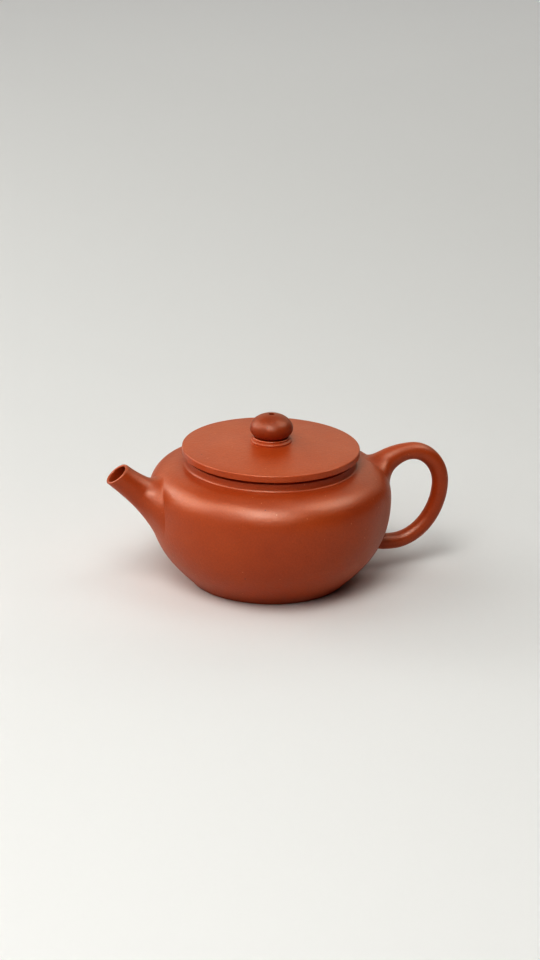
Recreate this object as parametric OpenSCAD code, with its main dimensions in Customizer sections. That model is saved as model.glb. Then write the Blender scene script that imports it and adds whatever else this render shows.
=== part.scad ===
// Round clay teapot with a flat lid, a short spout and a loop handle.
// Millimetres. The origin lies on the pot's axis in the plane it rests on, +Z is up,
// the spout points to -X and the handle to +X.

/* [Body] */
// Radius of the belly at its widest
body_r = 49; // [47:0.5:51]
// Height of the widest part of the belly
belly_z = 34.8; // [33:0.2:36]
// Radius where the rounded foot edge turns into the wall
base_r = 32; // [30.5:0.5:33]
// Thickness of the clay wall
wall = 2.8; // [2.4:0.1:3.2]
// Depth of the hollow under the base
base_recess = 1.2; // [0.6:0.1:2]
// Width of the ring that the pot rests on
rest_w = 4; // [2:0.5:6]

/* [Neck] */
// Radius at the root of the neck
neck_r = 35; // [34:0.2:36]
// Height of the root of the neck
neck_z = 48.7; // [48:0.1:49.2]
// Height of the neck
neck_h = 4.3; // [3.5:0.1:5]
// Radius of the mouth under the lid
mouth_r = 31; // [29:0.2:32]

/* [Lid] */
// Radius of the lid
lid_r = 35.7; // [35:0.1:37]
// Thickness of the lid at its edge
lid_edge = 2.8; // [2.2:0.1:3.4]
// Rise of the lid's dome above its edge
lid_rise = 1.8; // [1:0.1:3]
// Clearance between the lid's seating ring and the mouth
lid_play = 0.35; // [0.2:0.05:0.6]
// Depth of the seating ring below the lid
flange_depth = 6.6; // [5:0.2:8]
// Wall of the seating ring
flange_wall = 2.4; // [2:0.1:3]
// Diameter of the vent hole through knob and lid
vent_d = 2.2; // [1.6:0.1:3]

/* [Knob] */
// Radius of the knob
knob_r = 8.65; // [7.9:0.05:9.5]
// Height of the knob
knob_h = 9.6; // [8.8:0.1:11]
// Radius of the step that the knob stands on
step_r = 8.5; // [7.6:0.1:8.8]
// Height of that step above the lid's dome
step_h = 2.3; // [1.6:0.1:2.8]

/* [Spout] */
// Distance of the spout's mouth from the pot's axis
spout_reach = 63.2; // [60:0.2:66]
// Height of the centre of the spout's mouth
spout_z = 48.45; // [46:0.05:50]
// Outer radius at the spout's mouth
spout_r = 5.3; // [4.8:0.1:6]
// Outer radius of the spout's root inside the wall line
spout_root_r = 12.7; // [11:0.1:14]
// Radius of the pouring hole at the mouth
pour_r = 4.1; // [3.6:0.1:4.4]
// Slope of the cut across the spout's mouth
mouth_slope = 50; // [44:1:56]

/* [Strainer] */
// Outer radius of the strainer dome
dome_r = 10.5; // [10:0.1:11.5]
// Thickness of the strainer dome
dome_wall = 1.2; // [1:0.1:1.5]
// Diameter of each strainer hole
dome_hole_d = 1.8; // [1.2:0.1:2]

/* [Handle] */
// Distance of the outermost point of the handle's centre line from the pot's axis
handle_reach = 72; // [70:0.5:75]
// Height of the highest point of the handle's centre line
handle_top = 49.8; // [47:0.2:51]
// Height of the lowest part of the handle's centre line
handle_low = 11; // [10.5:0.1:12]
// Thickness of the handle at the top
handle_d = 7.3; // [6.6:0.1:8]
// Thickness of the handle at its lower end
handle_end_d = 6.5; // [6:0.1:7]

/* [Hidden] */
clay = "#a8482a";
$fn = 96;

seat_z = neck_z + neck_h;            // top of the neck, where the lid rests
seat_gap = 0.05;                     // play between lid and neck
lid_z = seat_z + seat_gap;           // underside of the lid
lid_top = lid_z + lid_edge + lid_rise;
step_z = lid_top + step_h;           // top of the step, where the knob stands
bands = 10;                          // straight bands in each half of the body's outline
base_t = 0.14;                       // where the base joint crosses the lower curve
shoulder_t = 0.5;                    // where the shoulder joint crosses the upper curve
foot_round = 1.2;                    // rounding of the foot's edge
edge_h = 0.9;                        // height where that rounding turns into the wall
lid_hollow = 1.4;                    // rise of the lid's underside inside the seating ring
lid_round = 0.6;                     // rounding of the lid's edges
bead = step_h / 4;                   // radius of the two beads round the knob's step
low_share = 0.38;                    // share of the knob's height below its widest part
knob_foot = -52;                     // angle on the knob's outline where it meets the step
knob_full = 0.75;                    // fullness of the knob's lower half, 1 is an ellipse

// Outline of the body as two curves of four control points [radius, height]
low_curve = [[base_r, edge_h], [base_r + 8.1, edge_h + 7.8], [body_r, belly_z - 18.4], [body_r, belly_z]];
top_curve = [[body_r, belly_z], [body_r, belly_z + 4.9], [neck_r + 12.8, neck_z - 0.7], [neck_r, neck_z]];

// Centre line of the spout in the XZ plane, from inside the wall to the mouth
spout_mouth = [-spout_reach, spout_z];
spout_line = [[-41, 31.5], [-46.1, 35], [-spout_reach + 8, spout_z - 6.9], spout_mouth];
spout_flare = 2.3;                   // how quickly the spout narrows from its root
spout_wide = 1.2;                    // width of the spout's root over its depth
spout_bend = 0.6;                    // place on the line where the rings start to turn to the mouth's slope
spout_rings = 16;
spout_sides = 28;
// Point where the pouring hole's axis meets the inside of the wall, and the hole's radius there
spout_hole = [-46.5, 34.5];
pour_root_r = 6;

// Middle of the strainer dome, and its rows of holes as [angle from the dome's axis, number of holes]
dome_centre = [spout_hole[0] + 1, 0, spout_hole[1] - 1];
strainer_rows = [[0, 1], [24, 6], [46, 12]];

// Centre line of the handle in the XZ plane, from shoulder to lower belly
handle_side = 35.4;
handle_lines = [
    [[39, 38], [46.5, 45.4], [52.5, handle_top], [59.4, handle_top]],
    [[59.4, handle_top], [66.4, handle_top], [handle_reach, 42.8], [handle_reach, handle_side]],
    [[handle_reach, handle_side], [handle_reach, 23.5], [63.6, handle_low], [51.7, handle_low]],
    [[51.7, handle_low], [48, handle_low], [44, handle_low + 0.1], [38, handle_low + 0.6]]];
upper_flare = [5, 1 / 5];            // extra radius at the upper root, and the share of length it covers
lower_flare = [2.4, 1 / 8];          // the same at the lower root
flare_bend = 1.6;                    // how quickly both flares fade
thin_by = 0.62;                      // share of the handle's length where it reaches its lower thickness
handle_rings = 9;                    // rings along each of the four curves
handle_sides = 20;

function bezier(p, t) = pow(1 - t, 3) * p[0] + 3 * t * pow(1 - t, 2) * p[1]
                      + 3 * t * t * (1 - t) * p[2] + pow(t, 3) * p[3];
function slope(p, t) = 3 * pow(1 - t, 2) * (p[1] - p[0]) + 6 * t * (1 - t) * (p[2] - p[1])
                     + 3 * t * t * (p[3] - p[2]);
function unit(v) = v / norm(v);
function side(p, t) = let (v = unit(slope(p, t))) [-v[1], v[0]];
function spread(n, a, b) = [for (i = [0:n]) a + (b - a) * i / n];
function outer(p, ts) = [for (t = ts) bezier(p, t)];
function inner(p, ts) = [for (t = ts) bezier(p, t) + wall * side(p, t)];
function backwards(list) = [for (i = [len(list) - 1:-1:0]) list[i]];
function tail(list) = [for (i = [1:len(list) - 1]) list[i]];
function arc(centre, r, from, to, n) = [for (a = spread(n, from, to)) centre + r * [cos(a), sin(a)]];

// Places along the body's curves, shared by every piece that touches the wall
base_ts = spread(2, 0, base_t);
wall_low_ts = spread(bands, base_t, 1);
wall_top_ts = spread(bands, 0, shoulder_t);
shoulder_ts = spread(6, shoulder_t, 1);
foot_edge = arc([base_r - foot_round, foot_round], foot_round, 270, 330, 3);

// Ring of points about a centre line: radius a in the plane of the line, b across it
function ring(c, v, a, b, n) = [for (k = [0:n - 1]) let (w = 360 * k / n)
    [c[0] - a * cos(w) * v[1], b * sin(w), c[1] + a * cos(w) * v[0]]];

// Closed solid through rings of equal point counts
module loft(rings) {
    n = len(rings[0]);
    last = n * (len(rings) - 1);
    sides = [for (i = [0:n:last - n], j = [0:n - 1])
        let (a = i + j, b = i + (j + 1) % n) each [[a, b + n, a + n], [a, b, b + n]]];
    polyhedron([for (r = rings) each r],
        concat(sides, [[for (j = [n - 1:-1:0]) j]], [[for (j = [0:n - 1]) last + j]]));
}

module turned(outline) rotate_extrude() polygon(outline);

// Everything inside the body's outer surface
module body_core() turned(concat([[0, 0]], foot_edge, outer(low_curve, base_ts),
    tail(outer(low_curve, wall_low_ts)), tail(outer(top_curve, wall_top_ts)),
    tail(outer(top_curve, shoulder_ts)), [[0, neck_z]]));

// The hollow inside the body
module body_hollow() turned(concat([[0, base_recess + wall]], inner(low_curve, wall_low_ts),
    tail(inner(top_curve, wall_top_ts)), tail(inner(top_curve, shoulder_ts)), [[0, neck_z - wall]]));

// Tapered pouring channel from beyond the spout's mouth to inside the wall
module pour_channel() {
    run = spout_hole - spout_mouth;
    reach = norm(run);
    spare = 6;
    taper = (pour_root_r - pour_r) / reach;
    translate([spout_mouth[0], 0, spout_mouth[1]])
        rotate([0, 90 - atan2(run[1], run[0]), 0])
            translate([0, 0, -spare])
                cylinder(h = reach + 2 * spare, r1 = pour_r - taper * spare,
                         r2 = pour_root_r + taper * spare);
}

module vent() translate([0, 0, lid_z - 1]) cylinder(h = step_z + knob_h - lid_z + 2, d = vent_d, $fn = 32);

module base_slab() color(clay) {
    rest_r = base_r - foot_round - rest_w;
    floor_z = base_recess + wall;
    turned(concat([[0, base_recess], [rest_r - 0.8, base_recess], [rest_r, 0]],
        foot_edge, outer(low_curve, base_ts),
        [inner(low_curve, [base_t])[0], [base_r - wall, floor_z], [0, floor_z]]));
}

module body_wall() color(clay) difference() {
    turned(concat(outer(low_curve, wall_low_ts), tail(outer(top_curve, wall_top_ts)),
        backwards(concat(inner(low_curve, wall_low_ts), tail(inner(top_curve, wall_top_ts))))));
    pour_channel();
}

module shoulder_slab() color(clay) turned(concat(outer(top_curve, shoulder_ts),
    [[mouth_r, neck_z], [mouth_r, neck_z - wall]], backwards(inner(top_curve, shoulder_ts))));

module neck_ring() color(clay) {
    waist = [[neck_r, neck_z], [neck_r - 0.9, neck_z + 0.5], [neck_r - 1, neck_z + neck_h - 1.2],
             [neck_r - 0.6, neck_z + neck_h - 0.4]];
    turned(concat([[mouth_r, neck_z]], outer(waist, spread(5, 0, 1)),
        [[neck_r - 0.9, seat_z], [mouth_r + 0.5, seat_z], [mouth_r, seat_z - 0.5]]));
}

module spout() color(clay) difference() {
    loft([for (t = spread(spout_rings, 0, 1))
        let (v = unit(slope(spout_line, t)), fall = pow(1 - t, spout_flare),
             tilt = (mouth_slope - atan2(v[1], -v[0])) * pow(max(0, t - spout_bend) / (1 - spout_bend), 2),
             turn = [v[0] * cos(tilt) + v[1] * sin(tilt), v[1] * cos(tilt) - v[0] * sin(tilt)])
        ring(bezier(spout_line, t), turn, spout_r + (spout_root_r - spout_r) * fall,
             spout_r + (spout_wide * spout_root_r - spout_r) * fall, spout_sides)]);
    body_core();
    pour_channel();
}

module strainer_dome() color(clay) difference() {
    intersection() {
        translate(dome_centre) sphere(dome_r);
        body_hollow();
    }
    translate(dome_centre) sphere(dome_r - dome_wall);
    translate(dome_centre) for (row = strainer_rows, k = [0:row[1] - 1])
        rotate([360 * (k + 0.5) / row[1], 0, 0]) rotate([0, 90 - row[0], 0])
            translate([0, 0, dome_r - 2 * dome_wall])
                cylinder(h = 3 * dome_wall, d = dome_hole_d, $fn = 24);
}

// Extra radius of the handle at a share of its length from a root
function flared(flare, share) = flare[0] * pow(max(0, 1 - share / flare[1]), flare_bend);

module handle() color(clay) difference() {
    curves = len(handle_lines);
    loft([for (s = [0:curves - 1], i = [(s == 0 ? 0 : 1):handle_rings])
        let (t = i / handle_rings, along = (s + t) / curves,
             r = (handle_d + (handle_end_d - handle_d) * min(1, along / thin_by)) / 2
               + flared(upper_flare, along) + flared(lower_flare, 1 - along))
        ring(bezier(handle_lines[s], t), unit(slope(handle_lines[s], t)), r, r, handle_sides)]);
    body_core();
}

module lid_flange() color(clay) {
    out = mouth_r - lid_play;
    in = out - flange_wall;
    low = lid_z - flange_depth;
    turned([[in, lid_z], [in, low + 0.6], [in + 0.6, low], [out - 1, low], [out - 0.4, low + 0.6],
            [out, lid_z - 1], [out, lid_z]]);
}

module lid_plate() color(clay) difference() {
    hollow_r = mouth_r - lid_play - flange_wall;
    brow = lid_z + lid_edge;
    dome = [[lid_r - 0.8, brow], [lid_r * 0.72, brow + lid_rise * 0.5],
            [lid_r * 0.4, lid_top], [0, lid_top]];
    turned(concat([[0, lid_z + lid_hollow], [hollow_r * 0.6, lid_z + lid_hollow * 0.8], [hollow_r, lid_z],
                   [lid_r - lid_round, lid_z]],
        arc([lid_r - lid_round, lid_z + lid_round], lid_round, 300, 360, 2),
        arc([lid_r - lid_round, brow - lid_round], lid_round, 0, 70, 3), outer(dome, spread(10, 0, 1))));
    vent();
}

module knob_step() color(clay) difference() {
    turned(concat([[0, lid_top], [step_r, lid_top]],
        arc([step_r - bead, lid_top + bead], bead, 0, 80, 3),
        arc([step_r - 1.8 * bead, step_z - bead], bead, 0, 90, 3), [[0, step_z]]));
    vent();
}

module knob() color(clay) difference() {
    low_h = low_share * knob_h;
    turned(concat([[0, step_z]],
        [for (a = spread(8, knob_foot, 0))
            [knob_r * pow(cos(a), knob_full), step_z + low_h * (1 - sin(a) / sin(knob_foot))]],
        [for (a = spread(12, 90 / 12, 90)) [knob_r * cos(a), step_z + low_h + (knob_h - low_h) * sin(a)]]));
    vent();
}

base_slab();
body_wall();
shoulder_slab();
neck_ring();
spout();
strainer_dome();
handle();
lid_flange();
lid_plate();
knob_step();
knob();
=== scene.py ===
"""Looks of a clay teapot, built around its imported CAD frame. Outlines are given in millimetres."""
import math

import bpy
import numpy as np
from mathutils import Matrix, Vector

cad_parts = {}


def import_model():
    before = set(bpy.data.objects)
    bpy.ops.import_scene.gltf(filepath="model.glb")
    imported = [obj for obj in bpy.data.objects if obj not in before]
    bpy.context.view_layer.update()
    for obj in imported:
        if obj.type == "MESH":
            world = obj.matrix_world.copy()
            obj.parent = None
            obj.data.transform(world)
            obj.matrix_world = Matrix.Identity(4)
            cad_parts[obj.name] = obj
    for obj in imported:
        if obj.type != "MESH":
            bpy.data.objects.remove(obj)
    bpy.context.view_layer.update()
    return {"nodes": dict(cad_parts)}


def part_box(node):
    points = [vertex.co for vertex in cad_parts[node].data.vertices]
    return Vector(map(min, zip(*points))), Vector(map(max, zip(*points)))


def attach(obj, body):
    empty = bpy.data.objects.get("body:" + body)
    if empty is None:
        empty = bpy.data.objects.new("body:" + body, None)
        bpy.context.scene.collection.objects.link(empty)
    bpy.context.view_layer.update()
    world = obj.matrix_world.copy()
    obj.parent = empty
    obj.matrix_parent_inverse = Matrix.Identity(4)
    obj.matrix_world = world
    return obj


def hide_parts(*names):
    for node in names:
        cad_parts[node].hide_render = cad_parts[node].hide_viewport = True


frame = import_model()

MM = 0.001
AROUND = 240                 # segments around a turned piece
TAU = 2 * math.pi


def low(node):
    return [round(c / MM, 2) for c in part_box(node)[0]]


def high(node):
    return [round(c / MM, 2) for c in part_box(node)[1]]


# ---------------------------------------------------------------- sizes, from the frame
# The dome and the step stand a little higher than in the CAD, as on the pot
DOME_EXTRA, STEP_EXTRA = 0.2, 0.3
BODY_R = high("body_wall")[1]
BASE_R = 32.0
FOOT_ROUND = 1.2
EDGE_Z = 0.9
BELLY_Z = 34.8
WALL = 2.8
RECESS = 1.2
REST_W = 4.0
NECK_R = high("neck_ring")[1]
NECK_Z = low("neck_ring")[2]
SEAT_Z = high("neck_ring")[2]
NECK_STEP = 0.8              # the neck's wall stands this far in from its root line
MOUTH_R = 31.0
LID_R = high("lid_plate")[1]
LID_Z = high("lid_flange")[2]
LID_TOP = high("lid_plate")[2] + DOME_EXTRA
LID_EDGE = 2.8
FLANGE_R = high("lid_flange")[1]
FLANGE_LOW = low("lid_flange")[2]
FLANGE_WALL = 2.4
STEP_R = high("knob_step")[1]
STEP_Z = high("knob_step")[2] + STEP_EXTRA
KNOB_R = high("knob")[1]
KNOB_TOP = high("knob")[2]
VENT_R = 1.1
SPOUT_MOUTH = np.array([-63.2, 48.45])
SPOUT_HOLE = np.array([-46.5, 34.5])

# Body outline: two curves of control points (radius, height)
LOW_CURVE = [(BASE_R, EDGE_Z), (BASE_R + 8.1, EDGE_Z + 7.8), (BODY_R, BELLY_Z - 18.4), (BODY_R, BELLY_Z)]
TOP_CURVE = [(BODY_R, BELLY_Z), (BODY_R, BELLY_Z + 4.9), (NECK_R + 12.8, NECK_Z - 0.7), (NECK_R, NECK_Z)]
BASE_JOINT = 0.14
SHOULDER_JOINT = 1.5


# ---------------------------------------------------------------- curves
def bezier(points, ts):
    p = np.array(points, float)
    t = np.asarray(ts, float)[..., None]
    return (1 - t) ** 3 * p[0] + 3 * t * (1 - t) ** 2 * p[1] + 3 * t * t * (1 - t) * p[2] + t ** 3 * p[3]


def bezier_slope(points, ts):
    p = np.array(points, float)
    t = np.asarray(ts, float)[..., None]
    d = 3 * (1 - t) ** 2 * (p[1] - p[0]) + 6 * t * (1 - t) * (p[2] - p[1]) + 3 * t * t * (p[3] - p[2])
    return d / np.linalg.norm(d, axis=-1, keepdims=True)


def body_point(us):
    """Point (radius, height) on the body's outline: 0 at the foot, 1 at the belly, 2 at the neck."""
    us = np.asarray(us, float)
    return np.where((us < 1)[..., None], bezier(LOW_CURVE, np.clip(us, 0, 1)),
                    bezier(TOP_CURVE, np.clip(us - 1, 0, 1)))


def body_slope(us):
    us = np.asarray(us, float)
    return np.where((us < 1)[..., None], bezier_slope(LOW_CURVE, np.clip(us, 0, 1)),
                    bezier_slope(TOP_CURVE, np.clip(us - 1, 0, 1)))


def body_normal(us):
    d = body_slope(us)
    return np.stack([d[..., 1], -d[..., 0]], -1)


def arc(centre, radius, start, end, steps=8):
    a = np.radians(np.linspace(start, end, steps))
    return np.stack([centre[0] + radius * np.cos(a), centre[1] + radius * np.sin(a)], -1)


def rounded(corners, steps=8):
    """Closed outline from corners (radius, height, rounding), each corner turned into a short curve."""
    out = []
    count = len(corners)
    for i, (x, y, r) in enumerate(corners):
        here = np.array([x, y])
        if r == 0:
            out.append(here[None])
            continue
        before = np.array(corners[i - 1][:2]) - here
        after = np.array(corners[(i + 1) % count][:2]) - here
        a = here + before / np.linalg.norm(before) * min(r, 0.48 * np.linalg.norm(before))
        b = here + after / np.linalg.norm(after) * min(r, 0.48 * np.linalg.norm(after))
        out.append(bezier([a, a + (here - a) * 0.6, b + (here - b) * 0.6, b], np.linspace(0, 1, steps)))
    return np.concatenate(out)


# ---------------------------------------------------------------- meshes
def make_mesh(name, points, faces, sharp=35):
    """Mesh piece from points in millimetres."""
    mesh = bpy.data.meshes.new(name)
    mesh.from_pydata((np.asarray(points) * MM).tolist(), [], faces)
    mesh.validate()
    for polygon in mesh.polygons:
        polygon.use_smooth = True
    mesh.set_sharp_from_angle(angle=math.radians(sharp))
    piece = bpy.data.objects.new(name, mesh)
    bpy.context.scene.collection.objects.link(piece)
    return piece


def turn(name, outline, sharp=35):
    """Closed solid of revolution. The outline runs anticlockwise in (radius, height)."""
    points, rings = [], []
    angles = np.arange(AROUND) / AROUND * TAU
    for r, z in outline:
        if r < 1e-6:
            rings.append([len(points)] * AROUND)
            points.append((0, 0, z))
        else:
            rings.append(list(range(len(points), len(points) + AROUND)))
            points += [(r * math.cos(a), r * math.sin(a), z) for a in angles]
    faces = []
    for i, lower in enumerate(rings):
        upper = rings[(i + 1) % len(rings)]
        for k in range(AROUND):
            n = (k + 1) % AROUND
            corners = list(dict.fromkeys([lower[k], lower[n], upper[n], upper[k]]))
            if len(corners) > 2:
                faces.append(corners)
    return make_mesh(name, points, faces, sharp)


def skin(name, rings, sharp=50, loop=True, flip=False):
    """Surface through rings of equal point counts; loop joins the last ring to the first."""
    rings = np.array(rings)
    count, n = rings.shape[:2]
    faces = []
    for i in range(count if loop else count - 1):
        for k in range(n):
            a, b = i * n + k, i * n + (k + 1) % n
            c, d = ((i + 1) % count) * n + (k + 1) % n, ((i + 1) % count) * n + k
            faces.append([a, b, c, d])
    if not loop:
        faces.append(list(range(n))[::-1])
        faces.append([(count - 1) * n + k for k in range(n)])
    if flip:
        faces = [f[::-1] for f in faces]
    return make_mesh(name, rings.reshape(-1, 3), faces, sharp)


def true_body_normals(piece):
    """Shades the body's outer and inner faces by the outline itself, so that slab joints don't show."""
    mesh = piece.data
    us = np.linspace(0, 2, 1601)
    line, slope = body_point(us), body_normal(us)
    co = np.zeros(len(mesh.vertices) * 3)
    mesh.vertices.foreach_get("co", co)
    co = co.reshape(-1, 3) / MM
    rz = np.stack([np.hypot(co[:, 0], co[:, 1]), co[:, 2]], -1)
    best = np.zeros(len(rz), int)
    side = np.zeros(len(rz))
    for sign, depth in ((1, 0), (-1, WALL)):
        inner = line - depth * slope
        for start in range(0, len(rz), 4000):
            part = rz[start:start + 4000]
            gap = np.hypot(part[:, None, 0] - inner[None, :, 0], part[:, None, 1] - inner[None, :, 1])
            near = gap.min(1) < 0.06
            best[start:start + 4000][near] = gap.argmin(1)[near]
            side[start:start + 4000][near] = sign
    around = co[:, :2] / np.maximum(rz[:, :1], 1e-9)
    n2 = slope[best] * side[:, None]
    normals = np.concatenate([around * n2[:, :1], n2[:, 1:]], -1)
    custom = np.zeros((len(mesh.loops), 3))
    for polygon in mesh.polygons:
        for loop in polygon.loop_indices:
            v = normals[mesh.loops[loop].vertex_index]
            if v @ np.array(polygon.normal) > 0.96:
                custom[loop] = v
    mesh.normals_split_custom_set(custom.tolist())


def slab_outline(start, end, steps):
    us = np.linspace(start, end, steps)
    outer = body_point(us)
    inner = outer - WALL * body_normal(us)
    return outer, inner


# ---------------------------------------------------------------- pot body
def base_slab():
    rest_out = BASE_R - FOOT_ROUND
    outer, inner = slab_outline(0, BASE_JOINT, 14)
    under = rounded([(0, RECESS, 0), (rest_out - REST_W - 1, RECESS, 0.8), (rest_out - REST_W, 0.15, 0.5),
                     (rest_out - REST_W + 0.5, 0, 0.4), (rest_out, 0, 0)])[:-1]
    foot = arc((rest_out, FOOT_ROUND), FOOT_ROUND, 270, 322, 8)
    floor = [(BASE_R - 3, RECESS + WALL), (0, RECESS + WALL)]
    piece = turn("base_slab_clay", np.concatenate([under, foot, outer, inner[-1:], floor]), 40)
    true_body_normals(piece)
    return piece


def bore_point(along, alpha, radius):
    """Point on the pouring channel: a distance along its axis from the mouth, and round it."""
    run = SPOUT_HOLE - SPOUT_MOUTH
    d = run / np.linalg.norm(run)
    up = np.array([-d[1], d[0]])
    c = SPOUT_MOUTH + along * d
    return np.array([c[0] + radius * math.cos(alpha) * up[0], radius * math.sin(alpha),
                     c[1] + radius * math.cos(alpha) * up[1]])


POUR_R, POUR_ROOT_R = 4.1, 6.0
POUR_RUN = float(np.linalg.norm(SPOUT_HOLE - SPOUT_MOUTH))


def pour_radius(along):
    return POUR_R + (POUR_ROOT_R - POUR_R) * along / POUR_RUN


def body_wall():
    outer, inner = slab_outline(BASE_JOINT, SHOULDER_JOINT, 110)
    piece = turn("body_wall_clay", np.concatenate([outer, inner[::-1]]), 60)
    cutter = skin("channel_cutter", [[bore_point(s, a, pour_radius(s)) for a in np.arange(64) / 64 * TAU]
                                     for s in (POUR_RUN - 8, POUR_RUN, POUR_RUN + 8)], loop=False)
    cut = piece.modifiers.new("channel", "BOOLEAN")
    cut.operation, cut.solver, cut.object = "DIFFERENCE", "EXACT", cutter
    graph = bpy.context.evaluated_depsgraph_get()
    mesh = bpy.data.meshes.new_from_object(piece.evaluated_get(graph))
    piece.modifiers.clear()
    piece.data = mesh
    bpy.data.objects.remove(cutter)
    true_body_normals(piece)
    return piece


def shoulder_slab():
    outer, inner = slab_outline(SHOULDER_JOINT, 2, 60)
    mouth = [(MOUTH_R, NECK_Z), (MOUTH_R, NECK_Z - WALL)]
    piece = turn("shoulder_slab_clay", np.concatenate([outer, mouth, inner[::-1]]), 40)
    true_body_normals(piece)
    return piece


def neck_ring():
    wall = NECK_R - NECK_STEP
    rise = [(NECK_R, NECK_Z), (NECK_R - 0.5, NECK_Z + 0.15), (wall, NECK_Z + 0.7), (wall, SEAT_Z - 1.5)]
    side = bezier(rise, np.linspace(0, 1, 24))
    lip = rounded([(*side[-1], 0), (NECK_R - 0.85, SEAT_Z - 1.25, 0.15), (NECK_R - 2, SEAT_Z - 1, 0.3),
                   (NECK_R - 2.2, SEAT_Z, 0.2), (MOUTH_R, SEAT_Z, 0.5), (MOUTH_R, NECK_Z, 0)])
    return turn("neck_ring_clay", np.concatenate([side, lip[1:]]))


# ---------------------------------------------------------------- roots that flow onto the body
ARC_US = np.linspace(0, 2, 2001)
ARC_LINE = body_point(ARC_US)
ARC_S = np.concatenate([[0], np.cumsum(np.hypot(*np.diff(ARC_LINE, axis=0).T))])


SINK = 0.06                  # how far a root's edge sinks into the body


def arc_at_height(z):
    return float(np.interp(z, ARC_LINE[:, 1], ARC_S))


def on_body(s, theta):
    """Point and its up, around and outward directions on the body, at arc length s and azimuth theta."""
    u = float(np.interp(s, ARC_S, ARC_US))
    (r, z), (sr, sz), (nr, nz) = body_point(u), body_slope(u), body_normal(u)
    c, n = math.cos(theta), math.sin(theta)
    return (np.array([r * c, r * n, z]), np.array([sr * c, sr * n, sz]),
            np.array([-n, c, 0.0]), np.array([nr * c, nr * n, nz]), r)


def edge_points(middle, edge, angles):
    """Smooth closed outline about a middle: height and across at each angle, from a few points."""
    across, height = np.array(edge, float).T
    turn_by = np.arctan2(across, height - middle)
    reach = np.hypot(across, height - middle)
    waves = np.arange(5)
    parts = np.linalg.lstsq(np.cos(np.outer(turn_by, waves)), reach, rcond=None)[0]
    fitted = np.cos(np.outer(angles, waves)) @ parts
    return middle + fitted * np.cos(angles), fitted * np.sin(angles)


def landing(height, across, theta, middle, crease):
    """Where a root's edge meets the body, its direction there and the body's outward direction."""
    facing = math.cos(theta)
    s, s0 = arc_at_height(height), arc_at_height(middle)
    r = on_body(s, theta)[4]
    p, along, around, out, _ = on_body(s, theta + facing * across / r)
    flow = (s - s0) * along + facing * across * around
    flow = flow / np.linalg.norm(flow)
    share = across * across / (across * across + (s - s0) ** 2)
    dip = math.radians(crease) * share ** 3
    return p, flow * math.cos(dip) - out * math.sin(dip), out


def hermite(p0, d0, p1, d1, steps, lead0, lead1):
    gap = np.linalg.norm(p1 - p0)
    t = np.linspace(0, 1, steps)[:, None]
    h = [2 * t ** 3 - 3 * t ** 2 + 1, t ** 3 - 2 * t ** 2 + t, 3 * t ** 2 - 2 * t ** 3, t ** 3 - t ** 2]
    return h[0] * p0 + h[1] * d0 * gap * lead0 + h[2] * p1 + h[3] * d1 * gap * lead1


def ring_at(centre, slope, radius, alphas, cross=None):
    """Ring about a centre line in the XZ plane; alpha 0 is its upper side."""
    up = np.array([-slope[1], slope[0]])
    if up[1] < 0:
        up = -up
    cross = radius if cross is None else cross
    c, n = np.cos(alphas), np.sin(alphas)
    return np.stack([centre[0] + radius * c * up[0], cross * n, centre[1] + radius * c * up[1]], -1)


SPOUT_EDGE = [(0, 46.2), (6.2, 44.8), (11.2, 41.2), (14.2, 36),
              (14.6, 30.6), (12.8, 25.6), (7.8, 21), (0, 18.8)]
SPOUT_MIDDLE = 35
SPOUT_CREASE = 30            # degrees between the root's sides and the body


def spout():
    sides = 112
    alphas = np.arange(sides) / sides * TAU
    line = [(-41, 31.5), (-46.1, 35), (SPOUT_MOUTH[0] + 8, SPOUT_MOUTH[1] - 6.9), tuple(SPOUT_MOUTH)]
    mouth_r, flare, root_r, wide_r, start = 5.3, 2.2, 12.7, 13.4, 0.64
    mouth_slope = math.radians(50)

    def tube(t, radius=None, shift=0.0):
        d = bezier_slope(line, t)
        fall = (1 - t) ** flare
        tilt = (mouth_slope - math.atan2(d[1], -d[0])) * max(0, (t - 0.6) / 0.4) ** 2
        turned = np.array([d[0] * math.cos(tilt) + d[1] * math.sin(tilt),
                           d[1] * math.cos(tilt) - d[0] * math.sin(tilt)])
        r = mouth_r + (root_r - mouth_r) * fall if radius is None else radius
        wide = mouth_r + (wide_r - mouth_r) * fall if radius is None else radius
        return ring_at(bezier(line, t) + shift * turned, turned, r, alphas, wide)

    outer = [tube(t) for t in np.linspace(0.985, start, 30)]
    first, before = outer[-1], outer[-2]
    heights, across = edge_points(SPOUT_MIDDLE, SPOUT_EDGE, alphas)
    skirt = []
    for k in range(sides):
        d0 = first[k] - before[k]
        end, flow, out = landing(heights[k], across[k], math.pi, SPOUT_MIDDLE, SPOUT_CREASE)
        curve = hermite(first[k], d0 / np.linalg.norm(d0), end - SINK * out, flow, 40, 0.7, 1.1)
        skirt.append(curve[1:])
    outer += list(np.array(skirt).transpose(1, 0, 2))
    # the edge turns under the root and runs to the pouring channel
    tuck, depth = 0.95, 0.3
    tucked = [landing(SPOUT_MIDDLE + tuck * (h - SPOUT_MIDDLE), tuck * w, math.pi, SPOUT_MIDDLE, 0)[0]
              for h, w in zip(heights, across)]
    tucked = np.array(tucked) * (1 - depth / BODY_R)
    under = np.array([bore_on_body(a) for a in alphas])
    bore = [[bore_point(s, a, pour_radius(s)) for a in alphas]
            for s in np.linspace(POUR_RUN - 5.5, 1.2, 20)]
    lip_r = 0.5 * (mouth_r - POUR_R)
    lip = [tube(1.0, POUR_R + lip_r - lip_r * math.cos(a), 0.45 * math.sin(a) - 0.25)
           for a in np.radians(np.linspace(0, 180, 9))]
    rings = outer + [tucked, under] + bore + lip
    return skin("spout_clay", rings, sharp=60)


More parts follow.
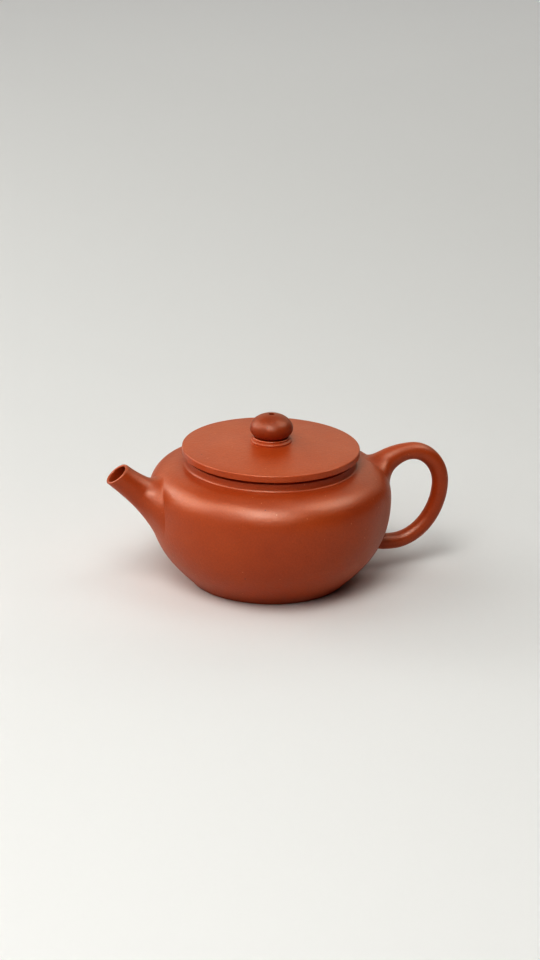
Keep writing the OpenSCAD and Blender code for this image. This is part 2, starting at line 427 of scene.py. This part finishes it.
def bore_on_body(alpha):
    """Where the pouring channel's side crosses the body's outer face."""
    near, far = 2.0, POUR_RUN + 4
    for _ in range(40):
        mid = 0.5 * (near + far)
        p = bore_point(mid, alpha, pour_radius(mid))
        inside = math.hypot(p[0], p[1]) < np.interp(p[2], ARC_LINE[:, 1], ARC_LINE[:, 0])
        near, far = (near, mid) if inside else (mid, far)
    return p


HANDLE_D, HANDLE_END_D = 7.3, 6.5
UPPER_ROOT_Z, LOWER_ROOT_Z = 43.0, 11.6
HANDLE_LINES = [
    [(39, 38), (46.5, 45.4), (52.5, 49.8), (59.4, 49.8)],
    [(59.4, 49.8), (66.4, 49.8), (72, 42.8), (72, 35.4)],
    [(72, 35.4), (72, 23.5), (63.6, 11.2), (51.7, 11.2)],
    [(51.7, 11.2), (48, 11.2), (44, 11.3), (38, 11.8)]]


def handle():
    sides = 96
    alphas = np.arange(sides) / sides * TAU
    places = np.concatenate([np.linspace(0.55, 1, 24), np.linspace(1, 3, 90)[1:], [3.12, 3.25]])
    rings = []
    for place in places:
        i = min(int(place), 3)
        t = place - i
        c, d = bezier(HANDLE_LINES[i], t), bezier_slope(HANDLE_LINES[i], t)
        up = np.array([-d[1], d[0]])
        r = 0.5 * (HANDLE_D + (HANDLE_END_D - HANDLE_D) * min(1, place / 2.5))
        if place < 1:
            r += 1.5 * max(0, (58 - c[0]) / 10) ** 1.6
        cos, sin = np.cos(alphas), np.sin(alphas)
        rings.append(np.stack([c[0] + r * cos * up[0], -r * sin, c[1] + r * cos * up[1]], -1))
    rings = np.array(rings)
    top, bottom = [], []
    reach = [(np.cos(alphas), -np.sin(alphas)), (-np.cos(alphas), -np.sin(alphas))]
    for k in range(sides):
        d0 = rings[0][k] - rings[1][k]
        rise, side = reach[0][0][k], reach[0][1][k]
        height = UPPER_ROOT_Z + (5.3 if rise > 0 else 7.4) * rise
        end, flow, out = landing(height, 12.4 * side, 0, UPPER_ROOT_Z, 0)
        curve = hermite(rings[0][k], d0 / np.linalg.norm(d0), end - SINK * out, flow, 30, 0.8, 1.1)
        top.append(curve[1:])
        d1 = rings[-1][k] - rings[-2][k]
        rise, side = reach[1][0][k], reach[1][1][k]
        end, flow, out = landing(LOWER_ROOT_Z + 3.7 * rise, 4.6 * side, 0, LOWER_ROOT_Z, 6)
        curve = hermite(rings[-1][k], d1 / np.linalg.norm(d1), end - SINK * out, flow, 16, 0.8, 0.9)
        bottom.append(curve[1:])
    top = np.array(top).transpose(1, 0, 2)[::-1]
    bottom = np.array(bottom).transpose(1, 0, 2)
    return skin("handle_clay", np.concatenate([top, rings, bottom]), sharp=60, loop=False, flip=True)


# ---------------------------------------------------------------- lid
def lid_plate():
    hollow_r = FLANGE_R - FLANGE_WALL
    brow = LID_Z + LID_EDGE
    rise = LID_TOP - brow
    edge = rounded([(hollow_r, LID_Z, 0), (LID_R, LID_Z, 0.3), (LID_R, brow, 0.5),
                    (LID_R * 0.9, brow + rise * 0.22, 0)], 10)
    dome = bezier([edge[-1], (LID_R * 0.68, brow + rise * 0.62), (LID_R * 0.42, LID_TOP - 0.02),
                   (STEP_R + 2.4, LID_TOP)], np.linspace(0, 1, 60))[1:]
    root = bezier([(STEP_R + 1.8, LID_TOP + 0.01), (STEP_R + 0.6, LID_TOP + 0.03),
                   (STEP_R - 0.1, LID_TOP + 0.08), (STEP_R - 0.3, LID_TOP + 0.28)], np.linspace(0, 1, 12))
    middle = [(STEP_R - 0.6, LID_TOP + 0.28), (STEP_R - 0.7, LID_TOP), (VENT_R, LID_TOP)]
    top = np.concatenate([root, middle])
    under = [(VENT_R, LID_Z + 1.4), (hollow_r * 0.6, LID_Z + 1.1)]
    return turn("lid_plate_clay", np.concatenate([edge, dome, top, under]))


def lid_flange():
    inner = FLANGE_R - FLANGE_WALL
    top = LID_Z - 0.02           # a hair below the plate that turns on it
    return turn("lid_flange_clay", rounded([
        (inner, FLANGE_LOW, 0.7), (FLANGE_R - 0.4, FLANGE_LOW, 0.7), (FLANGE_R, FLANGE_LOW + 1.2, 0.6),
        (FLANGE_R, top, 0), (inner, top, 0)]))


def knob_step():
    bead = (STEP_Z - LID_TOP) / 4
    low_bead = arc((STEP_R - 0.15 - bead, LID_TOP + bead + 0.05), bead, -60, 82, 16)
    top_bead = arc((STEP_R - 0.9 - bead, STEP_Z - bead), bead, -30, 100, 16)
    return turn("knob_step_clay", np.concatenate([
        [(VENT_R, LID_TOP), (STEP_R - bead, LID_TOP)], low_bead, top_bead,
        [(STEP_R - 1.6, STEP_Z - 0.25), (VENT_R, STEP_Z - 0.25)]]), 50)


def knob():
    foot, brow = math.radians(52), math.radians(78)
    height = KNOB_TOP - STEP_Z
    low_h = 0.4 * height
    a = np.linspace(-foot, brow, 90)
    rise = np.where(a < 0, low_h / math.sin(foot), (height + 0.2 - low_h) / math.sin(brow))
    z = STEP_Z - 0.25 + low_h + rise * np.sin(a)
    side = np.stack([KNOB_R * np.cos(a) ** np.where(a < 0, 0.8, 1.05), z], -1)
    bottom = [(VENT_R, STEP_Z - 0.26), (side[0][0] - 0.6, STEP_Z - 0.26)]
    rim = rounded([(*side[-1], 0), (VENT_R + 0.1, KNOB_TOP - 0.03, 0.15), (VENT_R, KNOB_TOP - 1.5, 0)])
    return turn("knob_clay_painted_shade", np.concatenate([bottom, side, rim[1:]]), 50)


# ---------------------------------------------------------------- clay
MOTTLE = [(0.30, (0.385, 0.060, 0.0068)), (0.52, (0.412, 0.068, 0.0080)), (0.74, (0.440, 0.079, 0.0110))]
PALE_GRAIN, DARK_PIT = (0.56, 0.17, 0.07), (0.14, 0.02, 0.006)


def clay(name, light_and_shade_scale=(1, 1, 1), rough=(0.37, 0.42), gloss=0.52):
    """Unglazed burnished clay: mottled colour, pale specks, dark pits, pebbled skin. Its colour is scaled
    to paint light onto lighter copies and shade onto darker ones.
    """
    material = bpy.data.materials.new(name)
    material.use_nodes = True
    nodes, links = material.node_tree.nodes, material.node_tree.links
    shader = nodes["Principled BSDF"]
    place = nodes.new("ShaderNodeTexCoord").outputs["Object"]

    def noise(scale, detail=3.0, rough=0.5):
        n = nodes.new("ShaderNodeTexNoise")
        n.inputs["Scale"].default_value = scale
        n.inputs["Detail"].default_value = detail
        n.inputs["Roughness"].default_value = rough
        links.new(place, n.inputs["Vector"])
        return n.outputs["Fac"]

    def ramp(value, stops):
        n = nodes.new("ShaderNodeValToRGB")
        links.new(value, n.inputs["Fac"])
        bar = n.color_ramp.elements
        while len(bar) < len(stops):
            bar.new(0.5)
        for element, (at, colour) in zip(bar, stops):
            element.position = at
            element.color = (*colour, 1) if len(colour) == 3 else colour
        return n.outputs["Color"]

    def mix(factor, a, b, kind="MIX"):
        n = nodes.new("ShaderNodeMix")
        n.data_type, n.blend_type = "RGBA", kind
        for socket, value in ((n.inputs[0], factor), (n.inputs[6], a), (n.inputs[7], b)):
            if hasattr(value, "is_output"):
                links.new(value, socket)
            else:
                socket.default_value = value if isinstance(value, float) else (*value, 1)
        return n.outputs[2]

    def grains(scale, size, seed):
        """White where a scattered grain lies."""
        n = nodes.new("ShaderNodeTexVoronoi")
        n.inputs["Scale"].default_value = scale
        n.inputs["Randomness"].default_value = 1.0
        shifted = nodes.new("ShaderNodeVectorMath")
        shifted.operation = "ADD"
        links.new(place, shifted.inputs[0])
        shifted.inputs[1].default_value = (seed, seed, seed)
        links.new(shifted.outputs[0], n.inputs["Vector"])
        spot = ramp(n.outputs["Distance"], [(0.0, (1, 1, 1)), (size, (1, 1, 1)), (size * 1.5, (0, 0, 0))])
        few = nodes.new("ShaderNodeSeparateColor")
        links.new(n.outputs["Color"], few.inputs[0])
        keep = ramp(few.outputs[0], [(0.0, (0, 0, 0)), (0.90, (0, 0, 0)), (0.92, (1, 1, 1))])
        return mix(1.0, spot, keep, "MULTIPLY")

    # The mottled colour is scaled: painted light on the lid's copy, painted shade on the knob's copy
    base = ramp(noise(38, 4, 0.55), [(at, tuple(a * b for a, b in zip(c, light_and_shade_scale))) for at, c in MOTTLE])
    fine = ramp(noise(1500, 2), [(0.30, (0.92, 0.91, 0.90)), (0.70, (1.06, 1.06, 1.05))])
    colour = mix(1.0, base, fine, "MULTIPLY")
    pale = grains(420, 0.09, 3.1)
    dark = grains(300, 0.07, 7.7)
    colour = mix(pale, colour, PALE_GRAIN)
    colour = mix(dark, colour, DARK_PIT)
    satin = ramp(noise(90, 3), [(0.3, (rough[0],) * 3), (0.7, (rough[1],) * 3)])
    links.new(colour, shader.inputs["Base Color"])
    links.new(satin, shader.inputs["Roughness"])
    shader.inputs["Specular IOR Level"].default_value = gloss

    def bump(height, strength, distance, under=None):
        n = nodes.new("ShaderNodeBump")
        n.inputs["Strength"].default_value = strength
        n.inputs["Distance"].default_value = distance
        links.new(height, n.inputs["Height"])
        if under is not None:
            links.new(under, n.inputs["Normal"])
        return n.outputs["Normal"]

    soft = bump(noise(700, 3), 0.3, 0.0003)
    grain = bump(noise(1500, 2), 0.22, 0.00012, soft)
    pits = bump(dark, 0.4, -0.0001, grain)
    links.new(pits, shader.inputs["Normal"])
    return material


pot_clay = clay("pot_clay")
# The lid's pieces get the pot's clay made lighter: painted light for the brighter light and sheen on the
# lid's top
lid_clay = clay("lid_clay", (1.1, 1.1, 0.95))
# The knob gets the pot's clay made darker and less glossy; the darker colour is painted shade on the knob
knob_clay_painted_shade = clay("knob_clay_painted_shade", (0.76, 0.74, 0.8), (0.38, 0.44), 0.36)

PIECES = [
    (base_slab, "base_slab", "pot"), (body_wall, "body_wall", "pot"),
    (shoulder_slab, "shoulder_slab", "pot"), (neck_ring, "neck_ring", "pot"),
    (spout, "spout", "pot"), (handle, "handle", "pot"),
    (lid_flange, "lid_flange", "lid_seat"), (lid_plate, "lid_plate", "lid"),
    (knob_step, "knob_step", "lid"), (knob, "knob", "lid")]

for build, node, body in PIECES:
    piece = build()
    of_lid = body != "pot"
    piece.data.materials.clear()
    piece.data.materials.append(knob_clay_painted_shade if build is knob else lid_clay if of_lid else pot_clay)
    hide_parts(node)
    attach(piece, body)

strainer = frame["nodes"]["strainer_dome"]
strainer.data.materials.clear()
strainer.data.materials.append(pot_clay)


# ---------------------------------------------------------------- floor, light and camera
def floor():
    mesh = bpy.data.meshes.new("floor")
    half = 4.0
    corners = [(-half, -half, 0), (half, -half, 0), (half, half, 0), (-half, half, 0)]
    mesh.from_pydata(corners, [], [(0, 1, 2, 3)])
    plane = bpy.data.objects.new("floor", mesh)
    bpy.context.scene.collection.objects.link(plane)
    material = bpy.data.materials.new("floor_paper")
    material.use_nodes = True
    shader = material.node_tree.nodes["Principled BSDF"]
    shader.inputs["Base Color"].default_value = (0.77, 0.775, 0.78, 1)
    shader.inputs["Roughness"].default_value = 0.9
    mesh.materials.append(material)


# The camera's place is given with the pot's own turn to it taken off
TURN = math.radians(15.5)
CAMERA_BACK, CAMERA_HEIGHT, CAMERA_SIDE = 1.2677, 0.5038, 0.0002
CAMERA_PITCH, CAMERA_ROLL = math.radians(69.95), math.radians(1.4)
CAMERA_SHIFT = (-0.00065, 0.00052)
to_pot = Matrix.Rotation(-TURN, 4, "Z")


def camera():
    data = bpy.data.cameras.new("camera")
    data.sensor_width, data.lens = 36.0, 125.68
    data.shift_x, data.shift_y = CAMERA_SHIFT
    cam = bpy.data.objects.new("camera", data)
    cam.matrix_world = (to_pot @ Matrix.Translation((CAMERA_SIDE, -CAMERA_BACK, CAMERA_HEIGHT))
                        @ Matrix.Rotation(CAMERA_PITCH, 4, "X") @ Matrix.Rotation(CAMERA_ROLL, 4, "Z"))
    bpy.context.scene.collection.objects.link(cam)
    bpy.context.scene.camera = cam


# Softboxes aimed at the pot: turned from the camera's side (positive to the right), raised, width and
# height, watts. The sheen boxes only show as reflections in the clay.
KEY_COLOUR, SHEEN_COLOUR = (1.0, 0.985, 0.95), (0.93, 0.95, 0.80)
LIGHT_DISTANCE = 1.1
LIGHTS = [
    ("left_low", -115, 22, 0.5, 0.5, 2.3, "key"), ("left", -80, 38, 0.5, 0.5, 1.6, "key"),
    ("front", -10, 42, 0.5, 0.5, 2.2, "key"), ("front_high", -15, 60, 0.5, 0.5, 3.1, "key"),
    ("front_left", -45, 22, 0.5, 0.5, 0.9, "key"), ("top_right", 80, 68, 0.6, 0.6, 1.35, "key"),
    ("back_high", 180, 66, 0.5, 0.5, 0.4, "key"),
    ("left_sheen", -96, 31, 1.0, 0.75, 7.9, "sheen"), ("front_sheen", 0, 46, 0.65, 0.6, 6.5, "sheen"),
    ("top_sheen", -50, 60, 0.6, 0.55, 4.2, "sheen"), ("right_sheen", 100, 54, 0.75, 0.6, 6.4, "sheen"),
    ("back_sheen", 182, 28, 2.4, 0.75, 4.6, "sheen")]


def soft_light(name, turn_by, rise, width, height, power, kind):
    light = bpy.data.lights.new(name, "AREA")
    light.shape, light.size, light.size_y = "RECTANGLE", width, height
    light.energy, light.color = power, KEY_COLOUR if kind == "key" else SHEEN_COLOUR
    lamp = bpy.data.objects.new(name, light)
    a, e = math.radians(turn_by), math.radians(rise)
    away = Vector((math.sin(a) * math.cos(e), -math.cos(a) * math.cos(e), math.sin(e)))
    aim = Vector((0, 0, 0.035))
    lamp.location = to_pot @ (away * LIGHT_DISTANCE + aim)
    lamp.rotation_euler = (aim - lamp.location).to_track_quat("-Z", "Y").to_euler()
    lamp.visible_diffuse = kind == "key"
    lamp.visible_camera = False
    bpy.context.scene.collection.objects.link(lamp)


def backdrop_light():
    """Soft light straight down on the floor behind the pot, which keeps it pale into the distance."""
    light = bpy.data.lights.new("backdrop", "AREA")
    light.shape, light.size, light.size_y = "RECTANGLE", 2.6, 1.0
    light.energy, light.color = 7.0, KEY_COLOUR
    lamp = bpy.data.objects.new("backdrop", light)
    lamp.location = to_pot @ Vector((0, 1.35, 0.9))
    lamp.rotation_euler = (0, 0, -TURN)
    lamp.visible_glossy = False
    lamp.visible_camera = False
    bpy.context.scene.collection.objects.link(lamp)


def world():
    sky = bpy.data.worlds.new("studio")
    sky.use_nodes = True
    back = sky.node_tree.nodes["Background"]
    back.inputs["Color"].default_value = (0.86, 0.88, 0.90, 1)
    back.inputs["Strength"].default_value = 0.02
    bpy.context.scene.world = sky


bpy.context.scene.view_settings.view_transform = "Standard"
bpy.context.scene.view_settings.look = "High Contrast"
floor()
for light in LIGHTS:
    soft_light(*light)
backdrop_light()
world()
camera()
